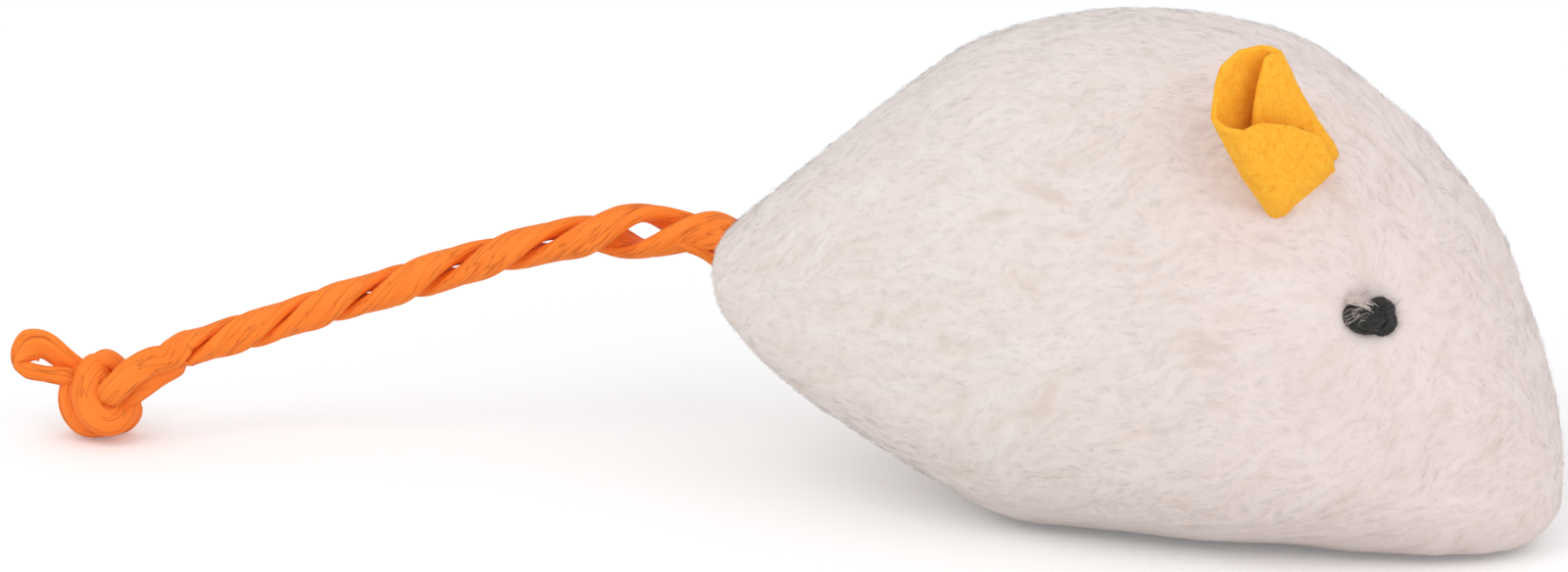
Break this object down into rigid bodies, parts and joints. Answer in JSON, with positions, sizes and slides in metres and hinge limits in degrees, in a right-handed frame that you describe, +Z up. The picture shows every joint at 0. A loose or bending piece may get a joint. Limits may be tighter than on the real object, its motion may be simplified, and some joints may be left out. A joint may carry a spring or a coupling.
{
  "type": "catnip mouse toy",
  "caption": "Small stuffed plush mouse for a cat, with folded felt ears, sewn thread eyes and a twisted paper-twine tail that ends in a knot and a loop.",
  "frame": {"origin": "middle of the flat of the belly, on the floor", "axes": "+X towards the nose, +Y towards the mouse's left side, +Z up"},
  "size_m": [0.1084, 0.0415, 0.0358],
  "materials": {
    "plush_white": "short-pile plush",
    "thread_white": "sewing thread",
    "fibre_fill": "loose fibre",
    "dried_leaf": "dried leaf",
    "felt_orange": "pressed felt",
    "thread_black": "embroidery thread",
    "paper_orange": "crinkled paper twine"
  },
  "bodies": {
    "body": {"side_panel_right": "plush_white", "side_panel_left": "plush_white", "belly_panel": "plush_white", "back_seam_thread": "thread_white", "base_seam_thread_right": "thread_white", "base_seam_thread_left": "thread_white", "stuffing_front": "fibre_fill", "stuffing_rear": "fibre_fill", "catnip_fill": "dried_leaf", "ear_root_right": "felt_orange", "ear_root_left": "felt_orange", "ear_thread_right": "thread_white", "ear_thread_left": "thread_white", "eye_right": "thread_black", "eye_left": "thread_black", "eye_thread": "thread_black", "tail_anchor": "paper_orange"},
    "ear_right": {"ear_right": "felt_orange"},
    "ear_left": {"ear_left": "felt_orange"},
    "tail_root": {"tail_root": "paper_orange"},
    "tail": {"tail_ply_first": "paper_orange", "tail_ply_second": "paper_orange", "tail_knot": "paper_orange", "tail_loop": "paper_orange"}
  },
  "joints": [
    {"name": "ear_right_flap", "type": "hinge", "parent": "body", "child": "ear_right", "pos_m": [0.0155, -0.0093, 0.02503], "axis": [0.4437, 0.7391, 0.5068], "range_deg": [-12, 45], "stiffness_Nm_per_rad": 0.0002},
    {"name": "ear_left_flap", "type": "hinge", "parent": "body", "child": "ear_left", "pos_m": [0.014, 0.01299, 0.01971], "axis": [0.6725, -0.0058, -0.7401], "range_deg": [-8, 45], "stiffness_Nm_per_rad": 0.0002},
    {"name": "tail_swing", "type": "hinge", "parent": "body", "child": "tail_root", "pos_m": [-0.03142, -0.00048, 0.0153], "axis": [0, 0, 1], "range_deg": [-55, 25]},
    {"name": "tail_lift", "type": "hinge", "parent": "tail_root", "child": "tail", "pos_m": [-0.03341, -0.00116, 0.0155], "axis": [-0.3223, 0.9466, 0], "range_deg": [0, 60]}
  ]
}
